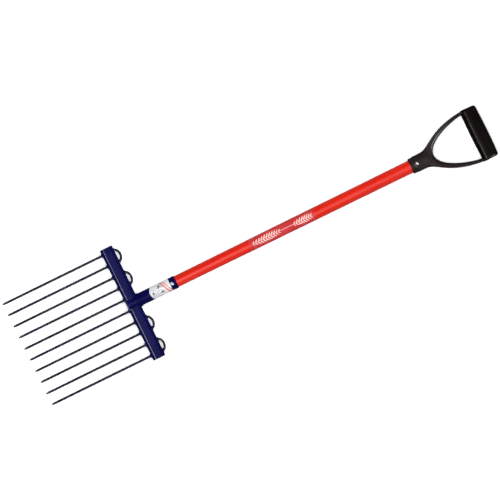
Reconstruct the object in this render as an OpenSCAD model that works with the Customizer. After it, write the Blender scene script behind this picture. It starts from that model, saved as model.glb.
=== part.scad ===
// Lawn aerator fork: ten wire tines in a box-section head bar, a steel socket,
// a tapering tubular shaft and a moulded D-grip. Millimetres.
// X runs along the tool with the tines towards -X, Y runs across, Z is up.
// The origin is the centre of the bounding box's base: the fork lies face up.

/* [Head bar] */
// Width of the head bar, along the tool
bar_w = 30; // [27:1:34]
// Height of the head bar
bar_h = 30; // [28:1:31]
// Wall thickness of the head bar
bar_wall = 2; // [1.5:0.5:3]
// Outer corner radius of the head bar's section
bar_corner_r = 7.5; // [6:0.5:9]
// Bar that stands out beyond the outermost wires
bar_overhang = 9.75; // [8:0.25:20]
// Thickness of the plates that close the bar's ends
end_plate_t = 2; // [1.5:0.5:4]

/* [Tines] */
// Length of the tines in front of the bar
tine_len = 255; // [200:5:300]
// Diameter of the spring wire
wire_d = 5.5; // [4.5:0.5:6.5]
// Distance between the two wires of one hairpin
pair_gap = 28; // [26:1:30]
// Distance from one hairpin to the next
pair_pitch = 57; // [54:1:62]
// How far the middle of a hairpin's bend stands behind the bar
loop_h = 9; // [8:0.5:11]
// Radius of the two corners of a hairpin's bend
loop_corner_r = 7; // [5:0.5:7.5]
// Straight stretch of a tine before it curves up
tine_straight = 75; // [40:5:110]
// Rise of the curved stretch
tine_rise = 12; // [4:1:20]
// Length of a tine's tapered tip
tip_len = 6; // [5:1:15]
// Diameter of the blunt end of a tine
tip_d = 3; // [1:0.5:3.5]

/* [Socket] */
// Outer diameter of the socket tube
socket_od = 30; // [29:0.5:31]
// Wall thickness of the socket tube
socket_wall = 1.5; // [1.2:0.1:2]
// Length of the socket tube behind the bar
socket_len = 97; // [90:1:120]
// Height of the tool's axis above the ground
axis_z = 20; // [19.5:0.5:21]
// Leg length of the weld beads
bead_r = 2.4; // [1.6:0.2:2.6]

/* [Shaft] */
// Length of the shaft between socket and grip
shaft_len = 600; // [450:10:900]
// Diameter of the shaft inside the grip
shaft_upper_d = 30.6; // [29:0.1:32]
// Wall thickness of the shaft
shaft_wall = 1.5; // [1.2:0.1:2]

/* [Grip] */
// Length of the grip
grip_len = 196; // [180:1:210]
// Overall width of the grip
grip_w = 128; // [116:1:140]
// Outer diameter of the grip's neck
neck_d = 36.8; // [35:0.2:38]
// Depth of the grip's bore
bore_depth = 46; // [40:1:46]
// Thickness of the arms at half their length
arm_t = 25; // [20:1:30]
// Width of the crossbar at its middle, along the tool
crossbar_w = 41; // [36:1:42]

/* [Fasteners] */
// Diameter of the rivet's shank
rivet_d = 5; // [4:0.5:6]
// Diameter of the rivet's head
rivet_head_d = 8.4; // [7:0.2:9]
// Distance from the socket's end to the rivet
rivet_inset = 11; // [9:1:14]
// Diameter of the grip screw's shank
screw_d = 4; // [3:0.5:5]
// Diameter of the grip screw's head
screw_head_d = 8; // [7:0.2:9]
// Distance from the grip's mouth to the screw
screw_inset = 16; // [12:1:20]

/* [Hidden] */

pair_count = 5;
middle_pair = 3;
round_fn = 96;
wire_sides = 16;
top_steps = 4;
corner_steps = 6;
curve_steps = 8;
eps = 0.01;

// Places along the tool, measured from the middle of the head bar.
bar_front = -bar_w / 2;
bar_rear = bar_w / 2;
socket_end = bar_rear + socket_len;
mouth_x = socket_end + shaft_len;
grip_end = mouth_x + grip_len;

// Head bar and hairpins.
bar_len = (pair_count - 1) * pair_pitch + pair_gap + wire_d + 2 * bar_overhang;
wire_z = bar_h / 2;
loop_half = pair_gap / 2;
loop_top_r = (pow(loop_half - loop_corner_r, 2) + pow(loop_h, 2) - pow(loop_corner_r, 2))
    / (2 * (loop_h - loop_corner_r));
loop_top_angle = asin((loop_half - loop_corner_r) / (loop_top_r - loop_corner_r));
curve_run = tine_len - tine_straight - tip_len;
curve_angle = 2 * atan(tine_rise / curve_run);
curve_r = curve_run / sin(curve_angle);
tip_x = bar_front - tine_straight - curve_run - tip_len * cos(curve_angle)
    - tip_d / 2 * sin(curve_angle);

// Socket and shaft.
socket_id = socket_od - 2 * socket_wall;
socket_top = axis_z + socket_od / 2;
slot_clear = 0.4;
shaft_start = bar_rear + loop_h + wire_d / 2 + 3;
shaft_end = mouth_x + bore_depth;
lower_d = socket_id;
lower_plug_len = 26;
upper_plug_len = 40;
rivet_x = socket_end - rivet_inset;
screw_x = mouth_x + screw_inset;
washer_t = 1;
rivet_tail_h = 1.6;
rivet_tail_d = 7;
washer_d = 11;
screw_len = 20;
label_t = 0.15;
label_start = bar_rear + 30;
label_end = rivet_x - rivet_head_d / 2 - 0.3;
label_angle = 340;
label_nose_r = 20;
decal_t = 0.12;
decal_start = 0.316;
decal_end = 0.588;
decal_angle = 300;

// Grip: both outlines of an arm are cubic curves, given by control points that are
// fractions of the grip's length and of its half-width.
outer_ctrl = [[30 / 196, neck_d / grip_w], [58 / 196, neck_d / grip_w], [74 / 196, 0.945], [172 / 196, 1]];
inner_ctrl = [[59.5 / 196, 0], [59.5 / 196, 0.523], [140 / 196, 0.89], [172 / 196, 0.875]];
neck_len = outer_ctrl[0][0] * grip_len;
crotch_x = inner_ctrl[0][0] * grip_len;
arm_rings = 22;
arm_sides = 24;
arm_squareness = 2.8;
root_t = 31;
crossbar_end_narrowing = 3;
crossbar_crest = 0.3;
crossbar_end_r = 5;
crossbar_rings = 14;
crossbar_sides = 36;
cap_rings = 5;
crown_power = 3;
crown_steps = 12;
lip_r = 1.2;

origin_x = (tip_x + grip_end) / 2;

// ---------------------------------------------------------------- helpers

function cubic(p, t) = pow(1 - t, 3) * p[0] + 3 * t * pow(1 - t, 2) * p[1]
    + 3 * t * t * (1 - t) * p[2] + pow(t, 3) * p[3];

// A cosine or sine bent towards a square, for superelliptic sections.
function squared(c, n) = sign(c) * pow(abs(c), 2 / n);

// Faces of a tube of `rings` rings with `sides` points each, closed at both ends.
function tube_faces(rings, sides) = concat(
    [[for (i = [0 : sides - 1]) sides - 1 - i]],
    [[for (i = [0 : sides - 1]) (rings - 1) * sides + i]],
    [for (r = [0 : rings - 2]) for (i = [0 : sides - 1])
        [r * sides + i, r * sides + (i + 1) % sides, (r + 1) * sides + (i + 1) % sides]],
    [for (r = [0 : rings - 2]) for (i = [0 : sides - 1])
        [r * sides + i, (r + 1) * sides + (i + 1) % sides, (r + 1) * sides + i]]
);

// Everything is drawn from the head bar's middle and moved to the origin here.
module placed() {
    translate([-origin_x, 0, 0]) children();
}

// A cylinder along X on the tool's axis.
module axial(x0, x1, d) {
    translate([x0, 0, axis_z]) rotate([0, 90, 0]) cylinder(h = x1 - x0, d = d, $fn = round_fn);
}

// A solid of revolution round the tool's axis from x0, its profile drawn as
// [radius, distance]. It leaves a gap underneath when the angle is under 360.
module revolved(x0, angle = 360) {
    translate([x0, 0, axis_z]) rotate([0, 90, 0]) rotate([0, 0, (360 - angle) / 2])
        rotate_extrude(angle = angle, $fn = round_fn) children();
}

// A low dome with its flat face at z = 0.
module dome(d, h) {
    r = (pow(d / 2, 2) + h * h) / (2 * h);
    intersection() {
        translate([0, 0, h - r]) sphere(r = r, $fn = 64);
        cylinder(h = h + 1, d = d, $fn = 64);
    }
}

// ---------------------------------------------------------------- head bar

module bar_section(inset) {
    r = bar_corner_r - inset;
    w = bar_w - 2 * inset;
    h = bar_h - 2 * inset;
    square([w - 2 * r, h], center = true);
    square([w, h - 2 * r], center = true);
    for (sx = [-1, 1], sy = [-1, 1])
        translate([sx * (w / 2 - r), sy * (h / 2 - r)]) circle(r = r, $fn = 64);
}

module bar_solid(inset, length) {
    translate([0, 0, bar_h / 2]) rotate([90, 0, 0])
        linear_extrude(height = length, center = true) bar_section(inset);
}

// Centres of all wires across the bar.
function wire_ys() = [for (p = [1 : pair_count]) for (s = [-1, 1]) pair_y(p) + s * pair_gap / 2];
function pair_y(p) = (p - (pair_count + 1) / 2) * pair_pitch;

module head_bar() {
    color([0.09, 0.09, 0.28]) placed() difference() {
        bar_solid(0, bar_len);
        bar_solid(bar_wall, bar_len + 2);
        for (y = wire_ys())
            translate([bar_front - 1, y, wire_z]) rotate([0, 90, 0])
                cylinder(h = bar_w + 2, d = wire_d, $fn = 32);
    }
}

// The end at +Y is the left one, seen from the tines. Its side is 1 and the other's is -1.
module bar_end_plate(side) {
    color([0.09, 0.09, 0.28]) placed()
        translate([0, side * (bar_len - end_plate_t) / 2, 0]) bar_solid(bar_wall, end_plate_t);
}

// ---------------------------------------------------------------- tines

// A station along the wire: [place, two directions across the wire, radius].
// They run from the middle of the bend to the tip of the wire on the +Y side.
function half_wire() = concat(
    [for (k = [0 : top_steps]) let (a = loop_top_angle * k / top_steps, n = [cos(a), sin(a), 0])
        [[bar_rear + loop_h - loop_top_r, 0, wire_z] + loop_top_r * n, n, [0, 0, 1], wire_d / 2]],
    [for (k = [1 : corner_steps]) let (
            a = loop_top_angle + (90 - loop_top_angle) * k / corner_steps,
            n = [cos(a), sin(a), 0]
        )
        [[bar_rear, loop_half - loop_corner_r, wire_z] + loop_corner_r * n, n, [0, 0, 1], wire_d / 2]],
    [for (k = [0 : curve_steps]) let (a = curve_angle * k / curve_steps, n = [sin(a), 0, cos(a)])
        [[bar_front - tine_straight, loop_half, wire_z + curve_r] - curve_r * n, [0, 1, 0], n, wire_d / 2]],
    [let (n = [sin(curve_angle), 0, cos(curve_angle)])
        [[bar_front - tine_straight, loop_half, wire_z + curve_r] - curve_r * n
            + tip_len * [-n[2], 0, n[0]], [0, 1, 0], n, tip_d / 2]]
);

function mirrored(v) = [v[0], -v[1], v[2]];

module tine_pair(p) {
    half = half_wire();
    count = len(half);
    wire = concat(
        [for (k = [count - 1 : -1 : 1]) let (w = half[k]) [mirrored(w[0]), mirrored(w[1]), w[2], w[3]]],
        half
    );
    points = [for (w = wire) for (i = [0 : wire_sides - 1]) let (a = i * 360 / wire_sides)
        w[0] + w[3] * (cos(a) * w[1] + sin(a) * w[2])];
    color([0.1, 0.09, 0.16]) placed() translate([0, pair_y(p), 0])
        polyhedron(points = points, faces = tube_faces(len(wire), wire_sides), convexity = 8);
}

// A convex bead round one wire, standing on a wall that faces +Z.
module wire_bead() {
    rotate_extrude($fn = 48) intersection() {
        translate([wire_d / 2, 0]) circle(r = bead_r, $fn = 32);
        translate([wire_d / 2, 0]) square(bead_r + 1);
    }
}

module tine_front_welds() {
    color([0.08, 0.08, 0.22]) placed() for (y = wire_ys())
        translate([bar_front, y, wire_z]) rotate([0, -90, 0]) wire_bead();
}

module tine_rear_welds() {
    color([0.08, 0.08, 0.22]) placed() for (p = [1 : pair_count]) if (p != middle_pair)
        for (s = [-1, 1])
            translate([bar_rear, pair_y(p) + s * pair_gap / 2, wire_z]) rotate([0, 90, 0]) wire_bead();
}

// ---------------------------------------------------------------- socket

module socket_tube() {
    slot_h = wire_d + 2 * slot_clear;
    color([0.07, 0.05, 0.24]) placed() difference() {
        axial(bar_front, socket_end, socket_od);
        axial(bar_front - 1, socket_end + 1, socket_id);
        bar_solid(0, bar_len);
        translate([bar_front - 1, -socket_od, -1]) cube([bar_w / 2 + 1, 2 * socket_od, bar_h + 1]);
        translate([bar_rear - eps, -socket_od, wire_z - slot_h / 2])
            cube([loop_h + wire_d / 2 + slot_clear + eps, 2 * socket_od, slot_h]);
        translate([rivet_x, 0, -1]) cylinder(h = 2 * axis_z, d = rivet_d, $fn = 48);
    }
}

// Closes the arch that the notched tube makes over the bar's front edge.
module weld_front() {
    arch_half = sqrt(pow(socket_id / 2, 2) - pow(bar_h - axis_z, 2));
    difference() {
        union() {
            intersection() {
                axial(bar_front, bar_front + bead_r, socket_id);
                translate([bar_front, -socket_od, bar_h]) cube([bead_r, 2 * socket_od, socket_od]);
            }
            translate([bar_front, -arch_half, bar_h - bar_corner_r])
                cube([bead_r, 2 * arch_half, bar_corner_r]);
        }
        bar_solid(0, bar_len);
    }
}

// Runs along one edge of the crest, where it lies on the bar's flat top.
module weld_side(side) {
    crest_half = sqrt(pow(socket_od / 2, 2) - pow(bar_h - axis_z, 2));
    flat_half = bar_w / 2 - bar_corner_r;
    difference() {
        translate([-flat_half, side * (crest_half + bead_r / 3), bar_h]) rotate([0, 90, 0])
            cylinder(h = 2 * flat_half, r = bead_r, $fn = 48);
        translate([-bar_w, -bar_w, 0]) cube([2 * bar_w, 2 * bar_w, bar_h]);
        axial(-flat_half - 1, flat_half + 1, socket_od);
    }
}

// Runs round the tube's rear end on the bar's rear wall, clear of the wires.
module weld_rear() {
    bead_clear = wire_d + 2 * slot_clear + 1;
    difference() {
        revolved(bar_rear) intersection() {
            translate([socket_od / 2, 0]) circle(r = bead_r, $fn = 32);
            translate([socket_od / 2, 0]) square(bead_r + 1);
        }
        translate([bar_rear - 1, -socket_od, bar_h - bar_corner_r])
            cube([bead_r + 2, 2 * socket_od, socket_od]);
        translate([bar_rear - 1, -socket_od, wire_z - bead_clear / 2])
            cube([bead_r + 2, 2 * socket_od, bead_clear]);
    }
}

module socket_weld() {
    color([0.08, 0.08, 0.22]) placed() {
        weld_front();
        weld_side(1);
        weld_side(-1);
        weld_rear();
    }
}

module socket_rivet() {
    color([0.85, 0.85, 0.87]) placed() {
        difference() {
            translate([rivet_x, 0, socket_top - 0.6]) dome(rivet_head_d, 2.8);
            axial(rivet_x - 10, rivet_x + 10, socket_od);
        }
        translate([rivet_x, 0, axis_z - socket_od / 2 - washer_t])
            cylinder(h = socket_od + washer_t, d = rivet_d, $fn = 48);
        translate([rivet_x, 0, axis_z - socket_od / 2 - washer_t]) mirror([0, 0, 1])
            dome(rivet_tail_d, rivet_tail_h);
    }
}

module socket_rivet_washer() {
    color([0.75, 0.75, 0.78]) placed()
        translate([rivet_x, 0, axis_z - socket_od / 2 - washer_t]) difference() {
            cylinder(h = washer_t, d = washer_d, $fn = 48);
            translate([0, 0, -1]) cylinder(h = washer_t + 2, d = rivet_d, $fn = 48);
        }
}

// A wrapped label, open underneath. Its end towards the bar is rounded in plan.
module socket_label() {
    length = label_end - label_start;
    color([0.85, 0.85, 0.88]) placed() intersection() {
        revolved(label_start, label_angle) translate([socket_od / 2, 0]) square([label_t, length]);
        union() {
            translate([label_start + label_nose_r, 0, -1])
                cylinder(h = 2 * axis_z + 2, r = label_nose_r, $fn = round_fn);
            translate([label_start + label_nose_r, -socket_od, -1])
                cube([length, 2 * socket_od, 2 * axis_z + 2]);
        }
    }
}

// ---------------------------------------------------------------- shaft

function shaft_d(f) = lower_d + (shaft_upper_d - lower_d) * f;

// Outline of the shaft, or of its hollow when inset by the wall.
module shaft_profile(inset, overrun) {
    polygon([
        [0, -overrun],
        [lower_d / 2 - inset, -overrun],
        [lower_d / 2 - inset, socket_end - shaft_start],
        [shaft_upper_d / 2 - inset, mouth_x - shaft_start],
        [shaft_upper_d / 2 - inset, shaft_end - shaft_start + overrun],
        [0, shaft_end - shaft_start + overrun]
    ]);
}

module shaft_tube() {
    color([0.9, 0.16, 0.12]) placed() difference() {
        revolved(shaft_start) shaft_profile(0, 0);
        revolved(shaft_start) shaft_profile(shaft_wall, 1);
        translate([rivet_x, 0, -1]) cylinder(h = 2 * axis_z, d = rivet_d, $fn = 48);
        translate([screw_x, 0, axis_z]) cylinder(h = axis_z, d = screw_d, $fn = 48);
    }
}

module shaft_lower_plug() {
    color([0.78, 0.62, 0.42]) placed() difference() {
        axial(socket_end - lower_plug_len, socket_end, lower_d - 2 * shaft_wall);
        translate([rivet_x, 0, -1]) cylinder(h = 2 * axis_z, d = rivet_d, $fn = 48);
    }
}

module shaft_upper_plug() {
    color([0.78, 0.62, 0.42]) placed() difference() {
        axial(shaft_end - upper_plug_len, shaft_end, shaft_upper_d - 2 * shaft_wall);
        screw_shank();
    }
}

module shaft_decal() {
    d0 = shaft_d(decal_start);
    d1 = shaft_d(decal_end);
    length = (decal_end - decal_start) * shaft_len;
    color([0.85, 0.3, 0.3]) placed() revolved(socket_end + decal_start * shaft_len, decal_angle)
        polygon([
            [d0 / 2, 0],
            [d0 / 2 + decal_t, 0],
            [d1 / 2 + decal_t, length],
            [d1 / 2, length]
        ]);
}

// ---------------------------------------------------------------- grip

// Both arms are one bow of sections, its middle one inside the neck. On each arm t runs
// from 0 at the neck to 1 inside the crossbar.
function arm_half_t(t) = (arm_t + (root_t - arm_t) * pow(2 * t - 1, 2)) / 2;
function grip_point(ctrl, t) = [cubic(ctrl, t)[0] * grip_len, cubic(ctrl, t)[1] * grip_w / 2];
function bow_section(t) = [grip_point(inner_ctrl, t), grip_point(outer_ctrl, t), arm_half_t(t)];
function bow_half() = concat(
    [[[crotch_x, 0], [neck_len / 2, 0], root_t / 2]],
    [for (k = [1 : arm_rings]) bow_section(k / arm_rings)]
);
function bow_ring(section, side) = let (
        mid = (section[0] + section[1]) / 2,
        half = (section[1] - section[0]) / 2
    ) [for (i = [0 : arm_sides - 1]) let (
        c = squared(cos(i * 360 / arm_sides), arm_squareness),
        s = squared(sin(-i * 360 / arm_sides), arm_squareness)
    ) [mid[0] + half[0] * c, side * (mid[1] + half[1] * c), s * section[2]]];

module grip_bow() {
    sections = bow_half();
    points = concat(
        [for (k = [len(sections) - 1 : -1 : 1]) each bow_ring(sections[k], -1)],
        [for (section = sections) each bow_ring(section, 1)]
    );
    polyhedron(points = points, faces = tube_faces(2 * len(sections) - 1, arm_sides), convexity = 8);
}

// Rings of the crossbar as [distance from the middle, inset], rounded at both ends.
function crossbar_stations() = let (half = grip_w / 2 - crossbar_end_r) concat(
    [for (k = [0 : cap_rings - 1]) let (a = 90 * k / cap_rings)
        [-half - crossbar_end_r * cos(a), crossbar_end_r * (1 - sin(a))]],
    [for (k = [0 : crossbar_rings]) [half * (2 * k / crossbar_rings - 1), 0]],
    [for (k = [cap_rings - 1 : -1 : 0]) let (a = 90 * k / cap_rings)
        [half + crossbar_end_r * cos(a), crossbar_end_r * (1 - sin(a))]]
);

// The crossbar is an oval that is thickest nearer the hand's opening than the far side.
function crossbar_ring(y, inset) = let (
        bow = pow(2 * y / grip_w, 2),
        less = crossbar_end_narrowing / 2 * bow + inset,
        inner = crossbar_w * crossbar_crest - less,
        outer = crossbar_w * (1 - crossbar_crest) - less,
        half_t = axis_z - less,
        crest_x = grip_len - crossbar_w * (1 - crossbar_crest)
    ) [for (i = [0 : crossbar_sides - 1]) let (a = -i * 360 / crossbar_sides)
        [crest_x + (sin(a) < 0 ? inner : outer) * sin(a), y, half_t * cos(a)]];

module crossbar() {
    stations = crossbar_stations();
    points = [for (s = stations) each crossbar_ring(s[0], s[1])];
    polyhedron(points = points, faces = tube_faces(len(stations), crossbar_sides), convexity = 4);
}

// Solid crown that closes the neck between the arms.
module neck_profile() {
    r = neck_d / 2;
    crown = crotch_x - neck_len - 0.5;
    translate([0, lip_r]) square([r, neck_len - lip_r]);
    square([r - lip_r, neck_len]);
    translate([r - lip_r, lip_r]) circle(r = lip_r, $fn = 32);
    polygon(concat([[0, neck_len]], [for (k = [0 : crown_steps]) let (u = k / crown_steps)
        [r * pow(1 - pow(u, crown_power), 1 / crown_power), neck_len + crown * u]]));
}

module screw_shank() {
    top = axis_z + neck_d / 2;
    translate([screw_x, 0, top - screw_len]) cylinder(h = screw_len + eps, d = screw_d, $fn = 48);
    translate([screw_x, 0, top - screw_len - screw_d])
        cylinder(h = screw_d, d1 = 0.6, d2 = screw_d, $fn = 48);
}

module grip_body() {
    color([0.08, 0.07, 0.07]) placed() difference() {
        union() {
            revolved(mouth_x) neck_profile();
            translate([mouth_x, 0, axis_z]) {
                grip_bow();
                crossbar();
            }
        }
        axial(mouth_x - 1, mouth_x + bore_depth, shaft_upper_d);
        translate([screw_x, 0, axis_z]) cylinder(h = axis_z + neck_d, d = screw_d, $fn = 48);
    }
}

module grip_screw() {
    top = axis_z + neck_d / 2;
    recess_w = 1;
    color([0.88, 0.88, 0.9]) placed() difference() {
        union() {
            difference() {
                translate([screw_x, 0, top - 0.5]) dome(screw_head_d, 2.9);
                axial(screw_x - 10, screw_x + 10, neck_d);
            }
            screw_shank();
        }
        for (a = [45, 135])
            translate([screw_x, 0, top + 2.4]) rotate([0, 0, a])
                cube([screw_head_d * 0.55, recess_w, 2.4], center = true);
    }
}

head_bar();
bar_end_plate(1);  // bar_end_plate_left
bar_end_plate(-1);  // bar_end_plate_right
tine_pair(1);  // tine_pair_1
tine_pair(2);  // tine_pair_2
tine_pair(3);  // tine_pair_3
tine_pair(4);  // tine_pair_4
tine_pair(5);  // tine_pair_5
tine_front_welds();
tine_rear_welds();
socket_tube();
socket_weld();
socket_rivet();
socket_rivet_washer();
socket_label();
shaft_tube();
shaft_lower_plug();
shaft_upper_plug();
shaft_decal();
grip_body();
grip_screw();
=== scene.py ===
"""The lawn aerator fork's looks: materials, refined pieces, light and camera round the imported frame."""

import math

import bpy
import numpy as np
from mathutils import Matrix, Vector


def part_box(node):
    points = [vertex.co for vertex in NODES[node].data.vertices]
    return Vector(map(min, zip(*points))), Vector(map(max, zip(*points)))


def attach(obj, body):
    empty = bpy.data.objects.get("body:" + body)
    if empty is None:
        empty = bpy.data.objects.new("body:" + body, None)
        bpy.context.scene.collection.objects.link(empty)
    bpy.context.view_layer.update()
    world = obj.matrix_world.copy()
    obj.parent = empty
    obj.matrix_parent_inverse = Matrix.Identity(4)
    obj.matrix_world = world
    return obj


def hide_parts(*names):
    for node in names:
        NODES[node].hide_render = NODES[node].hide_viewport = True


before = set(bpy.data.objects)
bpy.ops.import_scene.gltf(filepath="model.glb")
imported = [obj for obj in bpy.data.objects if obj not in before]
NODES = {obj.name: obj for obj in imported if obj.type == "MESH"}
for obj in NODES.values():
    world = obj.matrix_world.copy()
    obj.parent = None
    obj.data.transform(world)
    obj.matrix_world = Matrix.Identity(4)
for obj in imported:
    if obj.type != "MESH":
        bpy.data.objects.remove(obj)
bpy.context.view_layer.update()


# ------------------------------------------------------------------ places from the frame

BAR_LO, BAR_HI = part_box("head_bar")
SOCKET_LO, SOCKET_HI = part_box("socket_tube")
SHAFT_LO, SHAFT_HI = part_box("shaft_tube")
GRIP_LO, GRIP_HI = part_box("grip_body")
LABEL_LO, LABEL_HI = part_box("socket_label")
DECAL_LO, DECAL_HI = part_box("shaft_decal")
PLUG_LOW_LO, PLUG_LOW_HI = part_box("shaft_lower_plug")
PLUG_UP_LO, PLUG_UP_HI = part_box("shaft_upper_plug")
TINE_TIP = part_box("tine_pair_1")[0].x

AXIS_Z = (SOCKET_LO.z + SOCKET_HI.z) / 2
SOCKET_R = (SOCKET_HI.z - SOCKET_LO.z) / 2
SHAFT_UPPER_R = (SHAFT_HI.z - SHAFT_LO.z) / 2
SHAFT_WALL = SHAFT_UPPER_R - (PLUG_UP_HI.z - PLUG_UP_LO.z) / 2
SHAFT_LOWER_R = (PLUG_LOW_HI.z - PLUG_LOW_LO.z) / 2 + SHAFT_WALL
BARE_LO = SOCKET_HI.x
GRIP_LEN = GRIP_HI.x - GRIP_LO.x
GRIP_HALF_W = (GRIP_HI.y - GRIP_LO.y) / 2


# ------------------------------------------------------------------ node-tree helpers

class Tree:
    """A material's node tree with short calls for the nodes that the materials share."""

    def __init__(self, name):
        self.material = bpy.data.materials.new(name)
        self.material.use_nodes = True
        self.nodes = self.material.node_tree.nodes
        self.links = self.material.node_tree.links
        self.shader = self.nodes["Principled BSDF"]
        self.place = self.nodes.new("ShaderNodeTexCoord").outputs["Object"]

    def set(self, **values):
        """Sets inputs of the Principled shader, with _ for a space."""
        for key, value in values.items():
            self.shader.inputs[key.replace("_", " ")].default_value = value

    def put(self, socket, key):
        """Links an output to an input of the Principled shader."""
        self.links.new(socket, self.shader.inputs[key])

    def mapped(self, scale=(1, 1, 1)):
        """The place on the piece, stretched along an axis where its scale is under 1."""
        node = self.nodes.new("ShaderNodeMapping")
        node.inputs["Scale"].default_value = scale
        self.links.new(self.place, node.inputs["Vector"])
        return node.outputs["Vector"]

    def noise(self, vector, scale, detail=3.0, rough=0.55):
        node = self.nodes.new("ShaderNodeTexNoise")
        node.inputs["Scale"].default_value = scale
        node.inputs["Detail"].default_value = detail
        node.inputs["Roughness"].default_value = rough
        self.links.new(vector, node.inputs["Vector"])
        return node.outputs["Fac"]

    def cells(self, vector, scale):
        node = self.nodes.new("ShaderNodeTexVoronoi")
        node.inputs["Scale"].default_value = scale
        self.links.new(vector, node.inputs["Vector"])
        return node.outputs["Distance"]

    def times(self, a, b):
        """An output times a number or another output."""
        node = self.nodes.new("ShaderNodeMath")
        node.operation = "MULTIPLY"
        self.links.new(a, node.inputs[0])
        if isinstance(b, float):
            node.inputs[1].default_value = b
        else:
            self.links.new(b, node.inputs[1])
        return node.outputs[0]

    def ramp(self, factor, low, high, from_value=0.0, to_value=1.0):
        """Maps factor from low..high to from_value..to_value, held at both ends."""
        node = self.nodes.new("ShaderNodeMapRange")
        node.inputs["From Min"].default_value = low
        node.inputs["From Max"].default_value = high
        node.inputs["To Min"].default_value = from_value
        node.inputs["To Max"].default_value = to_value
        self.links.new(factor, node.inputs["Value"])
        return node.outputs["Result"]

    def mix(self, factor, a, b):
        node = self.nodes.new("ShaderNodeMix")
        node.data_type = "RGBA"
        self.links.new(factor, node.inputs["Factor"])
        for key, v in ((6, a), (7, b)):
            if isinstance(v, tuple):
                node.inputs[key].default_value = (*v, 1.0)
            else:
                self.links.new(v, node.inputs[key])
        return node.outputs[2]

    def bump(self, height, distance, strength=1.0, under=None):
        node = self.nodes.new("ShaderNodeBump")
        node.inputs["Distance"].default_value = distance
        node.inputs["Strength"].default_value = strength
        self.links.new(height, node.inputs["Height"])
        if under is not None:
            self.links.new(under, node.inputs["Normal"])
        return node.outputs["Normal"]

    def along(self):
        """The place along the tool."""
        node = self.nodes.new("ShaderNodeSeparateXYZ")
        self.links.new(self.place, node.inputs["Vector"])
        return node.outputs["X"]

    def edges(self, low, high):
        """1 on convex edges, 0 elsewhere, from the mesh's own pointiness."""
        geometry = self.nodes.new("ShaderNodeNewGeometry")
        return self.ramp(geometry.outputs["Pointiness"], low, high)


def srgb(r, g, b):
    """Linear colour of an 8-bit sRGB value."""
    shares = (r / 255, g / 255, b / 255)
    return tuple(c / 12.92 if c <= 0.04045 else ((c + 0.055) / 1.055) ** 2.4 for c in shares)


# ------------------------------------------------------------------ materials

def navy_paint():
    """Thick stoved navy paint with slight orange peel."""
    t = Tree("navy_paint")
    t.set(Roughness=0.16, IOR=1.5, Specular_IOR_Level=0.42)
    broad = t.noise(t.mapped(), 22.0, 4.0)
    fine = t.noise(t.mapped(), 420.0, 2.0)
    colour = t.mix(t.ramp(broad, 0.3, 0.7), srgb(4, 4, 58), srgb(9, 8, 74))
    t.put(colour, "Base Color")
    t.put(t.ramp(broad, 0.25, 0.75, 0.14, 0.18), "Roughness")
    peel = t.bump(t.noise(t.mapped(), 130.0, 1.0), 0.00008, 0.3)
    t.put(t.bump(fine, 0.00001, 0.3, peel), "Normal")
    return t.material


def wire_finish():
    """Dipped spring wire: nearly black blue, drawn along its length, worn to grey at the tips."""
    t = Tree("spring_wire")
    t.set(Roughness=0.38, IOR=1.5, Metallic=0.2)
    x = t.along()
    drawn = t.noise(t.mapped(scale=(0.06, 1, 1)), 900.0, 2.0)
    patches = t.noise(t.mapped(scale=(0.4, 1, 1)), 60.0, 4.0)
    colour = t.mix(t.ramp(patches, 0.35, 0.7), srgb(13, 11, 42), srgb(25, 22, 56))
    tip = t.ramp(x, TINE_TIP, TINE_TIP + 0.020, 1.0, 0.0)
    worn = t.times(tip, t.ramp(patches, 0.4, 0.6))
    t.put(t.mix(worn, colour, srgb(70, 70, 78)), "Base Color")
    t.put(t.ramp(patches, 0.3, 0.75, 0.32, 0.5), "Roughness")
    t.put(t.bump(drawn, 0.00005, 0.5), "Normal")
    return t.material


def weld_finish():
    """Weld beads under the same navy paint: rippled across their run."""
    t = Tree("painted_weld")
    t.set(Roughness=0.28, IOR=1.5)
    ripple = t.noise(t.mapped(), 520.0, 2.0)
    lumps = t.cells(t.mapped(), 380.0)
    t.put(t.mix(t.ramp(ripple, 0.3, 0.7), srgb(5, 5, 48), srgb(12, 12, 64)), "Base Color")
    t.put(t.bump(lumps, 0.0004, 0.7, t.bump(ripple, 0.0003, 0.6)), "Normal")
    return t.material


def bead_finish():
    """The last bead, over the paint: bluish steel, rippled and a little scorched."""
    t = Tree("bare_weld")
    t.set(Metallic=0.7, Roughness=0.4)
    scorch = t.noise(t.mapped(), 240.0, 3.0)
    t.put(t.mix(t.ramp(scorch, 0.35, 0.65), srgb(62, 70, 108), srgb(104, 114, 138)), "Base Color")
    t.put(t.ramp(scorch, 0.3, 0.7, 0.3, 0.5), "Roughness")
    t.put(t.bump(t.cells(t.mapped(), 600.0), 0.0002, 0.6), "Normal")
    return t.material


def red_paint():
    """Glossy red enamel on the shaft: faint brushing along it and a little mottling."""
    t = Tree("red_enamel")
    t.set(Roughness=0.34, IOR=1.5, Specular_IOR_Level=0.6)
    along = t.noise(t.mapped(scale=(0.05, 1, 1)), 500.0, 2.0)
    broad = t.noise(t.mapped(scale=(0.3, 1, 1)), 30.0, 4.0)
    colour = t.mix(t.ramp(broad, 0.3, 0.7), srgb(205, 24, 1), srgb(216, 31, 3))
    t.put(t.mix(t.ramp(along, 0.45, 0.75, 0.0, 0.25), colour, srgb(186, 19, 2)), "Base Color")
    t.put(t.ramp(broad, 0.25, 0.75, 0.31, 0.38), "Roughness")
    t.put(t.bump(along, 0.00006, 0.45, t.bump(broad, 0.0002, 0.3)), "Normal")
    return t.material


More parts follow.
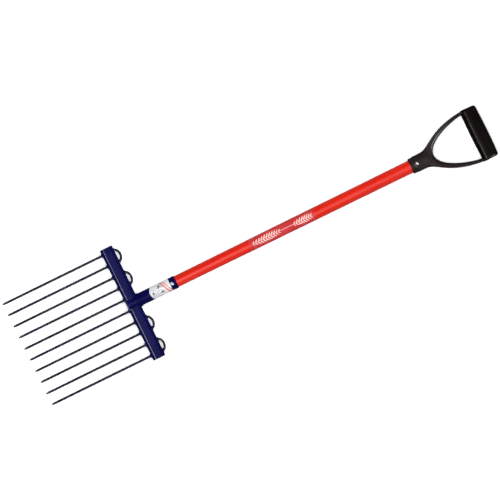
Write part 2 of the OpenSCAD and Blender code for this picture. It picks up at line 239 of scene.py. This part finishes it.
def steel_finish():
    """Bright zinc-plated steel with fine turning marks and small pits."""
    t = Tree("plated_steel")
    t.set(Metallic=0.6, Roughness=0.3)
    spots = t.noise(t.mapped(), 700.0, 3.0)
    t.put(t.mix(t.ramp(spots, 0.35, 0.7), srgb(240, 241, 245), srgb(215, 217, 224)), "Base Color")
    t.put(t.ramp(spots, 0.3, 0.7, 0.2, 0.36), "Roughness")
    t.put(t.bump(spots, 0.00005, 0.6), "Normal")
    return t.material


def wood_finish():
    """Softwood plug with grain along the shaft."""
    t = Tree("plug_wood")
    t.set(Roughness=0.75)
    grain = t.noise(t.mapped(scale=(0.12, 1, 1)), 260.0, 5.0, 0.65)
    t.put(t.mix(t.ramp(grain, 0.35, 0.65), srgb(196, 156, 104), srgb(150, 108, 62)), "Base Color")
    t.put(t.bump(grain, 0.0002, 0.6), "Normal")
    return t.material


def grip_plastic():
    """Grained brownish-black polypropylene, with painted shade darkening the crossbar, and greyer where it
    is rubbed.
    """
    t = Tree("grip_plastic")
    t.set(Roughness=0.36, IOR=1.49, Specular_IOR_Level=0.4)
    grain = t.cells(t.mapped(), 1500.0)
    mottle = t.noise(t.mapped(), 38.0, 4.0)
    x = t.along()
    colour = t.mix(t.ramp(mottle, 0.3, 0.7), srgb(30, 22, 21), srgb(37, 28, 27))
    # Painted shade: the crossbar end of the one-piece grip is darkened to near black, standing in for how
    # little light falls on it.
    colour = t.mix(t.ramp(x, GRIP_HI.x - 0.060, GRIP_HI.x - 0.042), colour, srgb(9, 2, 1))
    colour = t.mix(t.times(t.edges(0.51, 0.56), 0.4), colour, srgb(48, 40, 36))
    t.put(colour, "Base Color")
    t.put(t.ramp(mottle, 0.25, 0.75, 0.3, 0.4), "Roughness")
    t.put(t.bump(grain, 0.00008, 0.5), "Normal")
    return t.material


def label_foil():
    """Pearly white label film with a faint brushed sheen round the tube."""
    t = Tree("label_foil")
    t.set(Metallic=0.08, Roughness=0.3, IOR=1.5)
    brushed = t.noise(t.mapped(scale=(1, 0.08, 0.08)), 900.0, 2.0)
    foil = t.mix(t.ramp(brushed, 0.3, 0.7), srgb(232, 232, 236), srgb(205, 206, 212))
    t.put(foil, "Base Color")
    t.put(t.bump(brushed, 0.00004, 0.5), "Normal")
    return t.material


def decal_film():
    """Clear pinkish film over the red enamel."""
    t = Tree("decal_film")
    t.set(Roughness=0.22, IOR=1.5, Coat_Weight=0.3, Coat_Roughness=0.08)
    haze = t.noise(t.mapped(scale=(0.5, 1, 1)), 60.0, 3.0)
    t.put(t.mix(t.ramp(haze, 0.3, 0.7), srgb(186, 46, 50), srgb(200, 64, 66)), "Base Color")
    t.put(t.ramp(haze, 0.3, 0.7, 0.18, 0.28), "Roughness")
    return t.material


# ------------------------------------------------------------------ dressing the CAD nodes

def dress(material, *names):
    """Gives CAD nodes a material. Their meshes stay as packed."""
    for name in names:
        data = NODES[name].data
        data.materials.clear()
        data.materials.append(material)


dress(navy_paint(), "head_bar", "bar_end_plate_left", "bar_end_plate_right", "socket_tube")
dress(wire_finish(), *["tine_pair_%d" % n for n in range(1, 6)])
dress(weld_finish(), "tine_front_welds", "tine_rear_welds", "socket_weld")
dress(steel_finish(), "socket_rivet", "socket_rivet_washer", "grip_screw")
dress(red_paint(), "shaft_tube")
dress(wood_finish(), "shaft_lower_plug", "shaft_upper_plug")
plastic = grip_plastic()
dress(plastic, "grip_body")
dress(label_foil(), "socket_label")
dress(decal_film(), "shaft_decal")


# ------------------------------------------------------------------ the moulded grip

# Plan of one arm, in metres from the grip's mouth and from its axis, as the CAD outline has it.
OUTER_ARM = ((0.030, 0.0184), (0.058, 0.0184), (0.074, 0.0605), (0.172, 0.064))
INNER_ARM = ((0.0595, 0.0), (0.0595, 0.0335), (0.140, 0.057), (0.172, 0.056))
NECK_R = 0.0184
NECK_LEN = 0.046
LIP_R = 0.0012
ARM_START = 0.012
# The crossbar: an uneven oval, with its crest nearer the eye, that thins by its waste towards both ends.
BARREL = {
    "crest": GRIP_LEN - 0.0285,
    "inner": 0.0125,
    "outer": 0.0285,
    "half_depth": 0.020,
    "waste": 0.0015,
    "power": 2.2,
    "end_r": 0.005,
}
# Sizes along the grip: the one at the collar, then each change and the stretch it is spread over.
FACE = (0.0178, (-0.0024, 0.020, 0.050), (-0.0029, 0.055, 0.100), (0.0030, 0.125, 0.165))
EDGE = (0.0105, (-0.0080, 0.030, 0.066))
BEAD = (0.0118, (-0.0035, 0.055, 0.085), (-0.0035, 0.100, 0.150))
EDGE_ROUND = 0.9
BEAD_DROP = 0.0085
BEAD_STEP = 0.0007
BEAD_END = (0.150, 0.163)
GROOVE = {"width": 0.0009, "depth": 0.0024}
NECK_BLEND = 0.0035
BARREL_BLEND = 0.003
FACE_SLOPE = 0.8
BORE_GAP = 0.0001
CELL = 0.00075


def bezier(points, count=40):
    t = np.linspace(0, 1, count)[:, None]
    a, b, c, d = (np.array(p, float) for p in points)
    return (1 - t) ** 3 * a + 3 * t * (1 - t) ** 2 * b + 3 * t * t * (1 - t) * c + t ** 3 * d


def mirrored(outline):
    """A closed outline from its half at positive Y."""
    return np.vstack([outline, outline[::-1] * (1, -1)])


def distance_2d(outline, u, v):
    """Signed distance to a closed outline, below zero inside."""
    best = np.full(u.shape, 1e9)
    inside = np.zeros(u.shape, bool)
    for (ax, ay), (bx, by) in zip(outline, np.roll(outline, -1, axis=0)):
        ex, ey = bx - ax, by - ay
        length = ex * ex + ey * ey
        if length < 1e-16:
            continue
        t = np.clip(((u - ax) * ex + (v - ay) * ey) / length, 0, 1)
        best = np.minimum(best, (u - ax - t * ex) ** 2 + (v - ay - t * ey) ** 2)
        if ay != by:
            inside ^= ((ay > v) != (by > v)) & (u < ax + (v - ay) / (by - ay) * ex)
    return np.where(inside, -1.0, 1.0) * np.sqrt(best)


def smooth_step(x, low, high):
    t = np.clip((x - low) / (high - low), 0, 1)
    return t * t * (3 - 2 * t)


def soft_union(a, b, k):
    h = np.clip(0.5 + 0.5 * (b - a) / k, 0, 1)
    return b + (a - b) * h - k * h * (1 - h)


def rounded_cut(a, b, r):
    """The overlap of two solids, with its edge rounded to r."""
    p, q = a + r, b + r
    return np.hypot(np.maximum(p, 0), np.maximum(q, 0)) + np.minimum(np.maximum(p, q), 0) - r


def along_grip(size, u):
    """A size that changes along the grip, at u."""
    first, *changes = size
    return first + sum(change * smooth_step(u, low, high) for change, low, high in changes)


def arm_height(u, v):
    """Half the depth over the grip's plan, with the flat face, the groove and the inner bead."""
    before_neck = (-0.01, NECK_R)
    inside_barrel = (GRIP_LEN - 0.02, OUTER_ARM[-1][1])
    outer = mirrored(np.vstack([[before_neck], bezier(OUTER_ARM), [inside_barrel]]))
    inner = mirrored(bezier(INNER_ARM))
    from_outer = -distance_2d(outer, u, v)
    from_eye = distance_2d(inner, u, v)
    edge = along_grip(EDGE, u)
    drop = np.clip(1 - from_outer / edge, 0, 1)
    height = along_grip(FACE, u) - edge * EDGE_ROUND * (1 - np.sqrt(1 - drop ** 2))
    bead = along_grip(BEAD, u)
    lean = np.clip(1 - from_eye / bead, 0, 1)
    fade = 1 - smooth_step(u, *BEAD_END)
    sunk = BEAD_DROP * (1 - np.sqrt(1 - lean ** 2)) + BEAD_STEP * smooth_step(lean, 0.0, 0.15)
    height = height - fade * sunk
    height = height - fade * GROOVE["depth"] * np.exp(-((from_eye - bead) / GROOVE["width"]) ** 2)
    return height, np.maximum(-from_outer, -from_eye)


def grip_field(u, v, w):
    """The grip's solid as a field, below zero inside."""
    height, plan = arm_height(u[:, :, 0], v[:, :, 0])
    arms = np.maximum(FACE_SLOPE * (np.abs(w) - height[:, :, None]), plan[:, :, None])
    arms = np.maximum(arms, np.maximum(ARM_START - u, u - BARREL["crest"]))
    neck = rounded_cut(np.hypot(v, w) - NECK_R, np.maximum(-u, u - NECK_LEN), LIP_R)
    body = soft_union(arms, neck, NECK_BLEND)
    part = (v / GRIP_HALF_W) ** 2
    half_width = np.where(u < BARREL["crest"], BARREL["inner"], BARREL["outer"]) - BARREL["waste"] * part
    half_depth = BARREL["half_depth"] - BARREL["waste"] * part
    power = BARREL["power"]
    oval = (np.abs(u - BARREL["crest"]) / half_width) ** power + (np.abs(w) / half_depth) ** power
    round_barrel = (oval ** (1 / power) - 1) * BARREL["half_depth"]
    barrel = rounded_cut(round_barrel, np.abs(v) - GRIP_HALF_W, BARREL["end_r"])
    body = soft_union(body, barrel, BARREL_BLEND)
    bore = np.maximum(np.hypot(v, w) - SHAFT_UPPER_R - BORE_GAP, u - NECK_LEN)
    return np.maximum(body, -bore)


def surface_of(field, low, step):
    """Points and quads of the surface where a grid passes zero, one point in each crossed cell."""
    shape = np.array(field.shape) - 1
    corners = [(i, j, k) for i in (0, 1) for j in (0, 1) for k in (0, 1)]
    part = [field[i:i + shape[0], j:j + shape[1], k:k + shape[2]] for i, j, k in corners]
    signs = sum((p < 0).astype(np.int8) for p in part)
    cells = np.argwhere((signs > 0) & (signs < 8))
    index = np.full(shape, -1)
    index[tuple(cells.T)] = np.arange(len(cells))
    values = np.stack([p[tuple(cells.T)] for p in part])
    total, count = np.zeros((len(cells), 3)), np.zeros(len(cells))
    for a, ca in enumerate(corners):
        for b, cb in enumerate(corners):
            if sum(cb) - sum(ca) != 1 or any(q < p for p, q in zip(ca, cb)):
                continue
            crossed = (values[a] < 0) != (values[b] < 0)
            t = values[a] / np.where(crossed, values[a] - values[b], 1)
            total += crossed[:, None] * (np.array(ca) + t[:, None] * (np.array(cb) - np.array(ca)))
            count += crossed
    points = np.array(low) + step * (cells + total / count[:, None])
    quads = []
    for axis in range(3):
        one, two = [a for a in range(3) if a != axis]
        ends = [slice(1, -1)] * 3
        start, stop = list(ends), list(ends)
        start[axis], stop[axis] = slice(0, -1), slice(1, None)
        inside, after = field[tuple(start)] < 0, field[tuple(stop)] < 0
        for way in (False, True):
            at = np.argwhere((inside != after) & (inside == way))
            at[:, one] += 1
            at[:, two] += 1
            ring = []
            for step_one, step_two in ((0, 0), (-1, 0), (-1, -1), (0, -1)):
                cell = at.copy()
                cell[:, one] += step_one
                cell[:, two] += step_two
                ring.append(index[tuple(cell.T)])
            quad = np.stack(ring, axis=1)
            quads.append(quad if way == (axis == 1) else quad[:, ::-1])
    return points, np.vstack(quads)


def mesh_piece(name, points, faces, material):
    """A smooth-shaded piece that rides on the tool."""
    mesh = bpy.data.meshes.new(name)
    mesh.from_pydata([tuple(p) for p in points], [], [tuple(f) for f in faces])
    mesh.validate()
    for polygon in mesh.polygons:
        polygon.use_smooth = True
    mesh.materials.append(material)
    piece = bpy.data.objects.new(name, mesh)
    bpy.context.scene.collection.objects.link(piece)
    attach(piece, "root")
    return piece


def make_grip(material):
    """The grip with its strapped arms, in place of the plain one."""
    pad = 3 * CELL
    u = np.arange(-pad, GRIP_LEN + pad, CELL)
    v = np.arange(-GRIP_HALF_W - pad, GRIP_HALF_W + pad, CELL)
    w = np.arange(-BARREL["half_depth"] - pad, BARREL["half_depth"] + pad, CELL)
    field = grip_field(*np.meshgrid(u, v, w, indexing="ij"))
    points, quads = surface_of(field, (u[0] + GRIP_LO.x, v[0], w[0] + AXIS_Z), CELL)
    grip = mesh_piece("grip_shell", points, quads, material)
    relax = grip.modifiers.new("relax", "SMOOTH")
    relax.factor = 0.5
    relax.iterations = 2
    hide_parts("grip_body")


# ------------------------------------------------------------------ the weld over the socket's front end

FRONT_BEAD = {
    "r": 0.0017,
    "foot_gain": 0.0008,
    "foot_share": 0.28,
    "foot_drop": 0.003,
    "in_front": 0.0021,
    "sunk": 0.0012,
}
FRONT_BEAD_RINGS = 90
FRONT_BEAD_SIDES = 14


def make_front_weld(material):
    """A rippled bead along the socket's arch over the bar's front edge, fuller at both feet."""
    rng = np.random.default_rng(3)
    foot = math.acos((BAR_HI.z - AXIS_Z - FRONT_BEAD["foot_drop"]) / SOCKET_R)
    front = Vector((BAR_LO.x + FRONT_BEAD["in_front"], 0, AXIS_Z))
    points, faces, sides = [], [], FRONT_BEAD_SIDES
    for n, turn in enumerate(np.linspace(-foot, foot, FRONT_BEAD_RINGS)):
        out = Vector((0, -math.sin(turn), math.cos(turn)))
        near_foot = max(0.0, 1 - (1 - abs(turn) / foot) / FRONT_BEAD["foot_share"])
        ripple = 1 + 0.10 * math.sin(n * 1.25) + 0.05 * rng.random()
        r = float(FRONT_BEAD["r"] * ripple + FRONT_BEAD["foot_gain"] * near_foot)
        middle = front + out * (SOCKET_R - FRONT_BEAD["sunk"])
        for k in range(sides):
            a = 2 * math.pi * k / sides
            points.append(middle + r * (math.cos(a) * out + math.sin(a) * Vector((-1, 0, 0))))
    last = (FRONT_BEAD_RINGS - 1) * sides
    for first in range(0, last, sides):
        for k in range(sides):
            a, b = first + k, first + (k + 1) % sides
            faces.append((a, b, b + sides, a + sides))
    faces += [tuple(range(sides))[::-1], tuple(range(last, last + sides))]
    mesh_piece("socket_front_bead", points, faces, material)


# ------------------------------------------------------------------ print on the label and the decal

# Each sprout on the label: its place as a share of the length, its place across, its size and its way.
SPROUTS = (
    (-0.40, 0.002, 0.0085, 0.0),
    (-0.06, -0.0095, 0.0085, 0.5),
    (0.03, 0.0075, 0.0080, -0.4),
)
SPROUT_LEANS = (-0.75, 0.0, 0.75)
# Each stripe across the label: its place as a share of the length and its width.
STRIPES = ((0.24, 0.0036), (0.36, 0.0022))
STRIPE_SLANT = 0.012
STRIPE_REACH = 0.026
DASH_ROWS = 4
DASH_COLUMNS = 3
RING = {"share": -0.34, "across": 0.002, "half_len": 0.0072, "half_width": 0.0088, "dashes": 14}
# Each fern spray on the decal: its ends as shares of the length and its pairs of leaves.
SPRAYS = ((-0.46, -0.06, 11), (0.18, 0.44, 8))
SPRAY_STEM = 0.0007
SPRAY_LEAF = 0.0125
SPRAY_LEAN = 0.9


def wrapped(outline, middle_x, radius, lift):
    """Bends a flat outline of (along, across) metres round the tool's axis, from the top."""
    out = []
    for along, across in outline:
        r = radius(middle_x + along) + lift
        turn = across / r
        out.append((middle_x + along, -r * math.sin(turn), AXIS_Z + r * math.cos(turn)))
    return out


def strip(path, widths):
    """Left and right edges of a stroke along a path of (along, across) points."""
    path = np.array(path)
    way = np.gradient(path, axis=0)
    way /= np.linalg.norm(way, axis=1)[:, None]
    side = np.stack([-way[:, 1], way[:, 0]], axis=1) * np.array(widths)[:, None] / 2
    return path + side, path - side


def finer(path, widths, step=0.0006):
    """The same stroke with points at most a step apart."""
    path, widths = np.array(path), np.array(widths)
    at = np.concatenate([[0], np.cumsum(np.linalg.norm(np.diff(path, axis=0), axis=1))])
    new = np.linspace(0, at[-1], max(2, math.ceil(at[-1] / step) + 1))
    return np.stack([np.interp(new, at, path[:, k]) for k in (0, 1)], axis=1), np.interp(new, at, widths)


def stroke_mesh(strokes, middle_x, radius, lift):
    """Points and quads of flat strokes, each a path and its widths, bent round the tool's axis."""
    points, faces = [], []
    for path, widths in strokes:
        path, widths = finer(path, widths)
        left, right = strip(path, widths)
        first = len(points)
        for a, b in zip(left, right):
            points += wrapped([a, b], middle_x, radius, lift)
        for i in range(len(path) - 1):
            k = first + 2 * i
            faces.append((k, k + 1, k + 3, k + 2))
    return points, faces


def shaft_radius(x):
    """The bare shaft's radius at x."""
    low, high = BARE_LO, GRIP_LO.x
    share = min(max((x - low) / (high - low), 0), 1)
    return SHAFT_LOWER_R + share * (SHAFT_UPPER_R - SHAFT_LOWER_R)


def leaf(x, y, size, turn):
    """A pointed, slightly bowed leaf growing from its foot at (x, y)."""
    t = np.linspace(0, 1, 13)
    bow = 0.10 * size * np.sin(math.pi * t)
    path = np.stack([x + size * t * math.cos(turn) - bow * math.sin(turn),
                     y + size * t * math.sin(turn) + bow * math.cos(turn)], axis=1)
    return path, 0.0002 + 0.24 * size * np.sin(math.pi * t ** 0.8)


def decal_strokes():
    """Two fern sprays of paired leaves, joined by their stem."""
    length = DECAL_HI.x - DECAL_LO.x
    reach = -SPRAYS[0][0] * length
    strokes = [([(-reach, 0), (reach, 0)], [SPRAY_STEM, SPRAY_STEM])]
    for low, high, pairs in SPRAYS:
        for i, share in enumerate(np.linspace(low, high, pairs)):
            size = SPRAY_LEAF * (0.5 + 0.5 * math.sin(math.pi * (i + 0.5) / pairs))
            strokes += [leaf(share * length, 0.0, size, side * SPRAY_LEAN) for side in (-1, 1)]
    return strokes


def ink(name, colour, spread):
    """Screen-printed ink with slightly uneven cover."""
    t = Tree(name)
    t.set(Roughness=0.4, IOR=1.45)
    cover = t.noise(t.mapped(), 900.0, 3.0)
    t.put(t.mix(t.ramp(cover, 0.3, 0.7), srgb(*colour), srgb(*spread)), "Base Color")
    t.put(t.ramp(cover, 0.3, 0.7, 0.32, 0.5), "Roughness")
    t.put(t.bump(cover, 0.00003, 0.5), "Normal")
    return t.material


def stripe_strokes(length):
    """Two slanted stripes over the label's upper side."""
    t = np.linspace(-1, 1, 25)
    return [([(share * length + STRIPE_SLANT * k, STRIPE_REACH * k) for k in t], [wide] * len(t))
            for share, wide in STRIPES]


def sprout_strokes(length):
    """Sprouts of three leaves."""
    return [leaf(share * length, across, size * (1 - 0.2 * abs(lean)), way + lean)
            for share, across, size, way in SPROUTS for lean in SPROUT_LEANS]


def dash_strokes(length):
    """Rows of dashes of three lengths, and a ring of dashes round the first sprout."""
    strokes = []
    for row in range(DASH_ROWS):
        for i in range(DASH_COLUMNS):
            x, y = (-0.16 + 0.105 * i) * length, -0.011 + 0.0062 * row
            wide = 0.0022 + 0.0014 * ((row + 2 * i) % 3)
            strokes.append(([(x, y), (x + wide / 2, y), (x + wide, y)], [0.0011 + 0.0004 * (i % 2)] * 3))
    middle = RING["share"] * length
    for i in range(RING["dashes"]):
        turns = 2 * math.pi * np.linspace(i, i + 0.6, 4) / RING["dashes"]
        arc = [(middle + RING["half_len"] * math.cos(q), RING["across"] + RING["half_width"] * math.sin(q))
               for q in turns]
        strokes.append((arc, [0.0007] * 4))
    return strokes


def print_piece(name, strokes, middle_x, radius, lift, material):
    """Strokes as a thin piece that stands a lift above a round skin."""
    points, faces = stroke_mesh(strokes, middle_x, radius, lift)
    mesh_piece(name, points, faces, material)


def print_label():
    """The label's three printed layers, each a little above the last."""
    length = LABEL_HI.x - LABEL_LO.x
    middle = (LABEL_LO.x + LABEL_HI.x) / 2
    label_r = LABEL_HI.z - AXIS_Z
    for name, strokes, lift, colours in (
        ("label_stripe", stripe_strokes(length), 0.00009, ((204, 112, 100), (214, 132, 120))),
        ("label_leaves", sprout_strokes(length), 0.00012, ((52, 82, 56), (88, 100, 52))),
        ("label_marks", dash_strokes(length), 0.00015, ((38, 42, 44), (66, 66, 68))),
    ):
        material = ink(name + "_ink", *colours)
        print_piece(name, strokes, middle, lambda x: label_r, lift, material)


def print_decal():
    """The decal's sprays, just above its film."""
    middle = (DECAL_LO.x + DECAL_HI.x) / 2
    film = DECAL_HI.z - AXIS_Z - shaft_radius(DECAL_HI.x)
    material = ink("decal_ink", (250, 214, 206), (244, 190, 182))
    print_piece("decal_grass", decal_strokes(), middle, lambda x: shaft_radius(x) + film, 0.00008,
                material)


make_grip(plastic)
make_front_weld(bead_finish())
print_label()
print_decal()


# ------------------------------------------------------------------ floor, light and camera

FLOOR_HALF = 6.0
FLOOR_GAP = 0.0005


def make_floor():
    """A plain white floor just under the tool, left out of reflections so that the edges stay dark."""
    mesh = bpy.data.meshes.new("floor")
    corners = [(x * FLOOR_HALF, y * FLOOR_HALF, 0) for x, y in ((-1, -1), (1, -1), (1, 1), (-1, 1))]
    mesh.from_pydata(corners, [], [(0, 1, 2, 3)])
    floor = bpy.data.objects.new("floor", mesh)
    floor.location.z = -FLOOR_GAP
    floor.visible_glossy = False
    bpy.context.scene.collection.objects.link(floor)
    t = Tree("floor_white")
    t.set(Roughness=0.9)
    t.put(t.mix(t.noise(t.mapped(), 3.0), (0.9, 0.9, 0.9), (0.92, 0.92, 0.92)), "Base Color")
    t.set(Specular_IOR_Level=0.0, Emission_Color=(1, 1, 1, 1), Emission_Strength=0.35)
    mesh.materials.append(t.material)


def area_light(name, way, distance, size, radiance, glossy):
    """A soft box facing the tool's middle. It lights either reflections or everything but them."""
    light = bpy.data.lights.new(name, "AREA")
    light.shape = "RECTANGLE"
    light.size, light.size_y = size
    light.energy = radiance * math.pi * size[0] * size[1]
    lamp = bpy.data.objects.new(name, light)
    back = Vector(way).normalized()
    side = (Vector((1, 0, 0)) - back * back.x).normalized()
    facing = Matrix((side, back.cross(side), back)).transposed().to_4x4()
    lamp.matrix_world = Matrix.Translation(back * distance) @ facing
    lamp.visible_glossy = glossy
    lamp.visible_diffuse = not glossy
    bpy.context.scene.collection.objects.link(lamp)


def make_world():
    world = bpy.data.worlds.new("studio")
    bpy.context.scene.world = world
    world.use_nodes = True
    background = world.node_tree.nodes["Background"]
    background.inputs["Color"].default_value = (1, 1, 1, 1)
    background.inputs["Strength"].default_value = 0.045


# The camera looks straight down with a long lens, and the tool's axis is turned in the frame.
VIEW_TURN = math.radians(26.13)
VIEW_CENTRE = (-0.02276, -0.00944)
FIELD = 1.15
CAMERA_HEIGHT = 14.0


def make_camera():
    camera = bpy.data.objects.new("camera", bpy.data.cameras.new("camera"))
    camera.data.sensor_width = 36.0
    camera.data.lens = 36.0 * CAMERA_HEIGHT / FIELD
    camera.data.clip_end = 60.0
    right = Vector((math.cos(VIEW_TURN), -math.sin(VIEW_TURN), 0))
    up = Vector((math.sin(VIEW_TURN), math.cos(VIEW_TURN), 0))
    place = Vector((*VIEW_CENTRE, AXIS_Z + CAMERA_HEIGHT))
    camera.matrix_world = Matrix.Translation(place) @ Matrix((right, up, (0, 0, 1))).transposed().to_4x4()
    bpy.context.scene.collection.objects.link(camera)
    bpy.context.scene.camera = camera


make_floor()
make_world()
area_light("overhead_fill", (0, 0, 1), distance=3.0, size=(3.0, 3.0), radiance=5.2, glossy=False)
area_light("key_strip", (-0.28, -0.23, 0.93), distance=6.0, size=(0.9, 3.4), radiance=14.0, glossy=True)
area_light("side_box", (0.66, -0.66, 0.36), distance=5.0, size=(2.0, 1.6), radiance=17.0, glossy=True)
make_camera()
bpy.context.scene.view_settings.view_transform = "Standard"
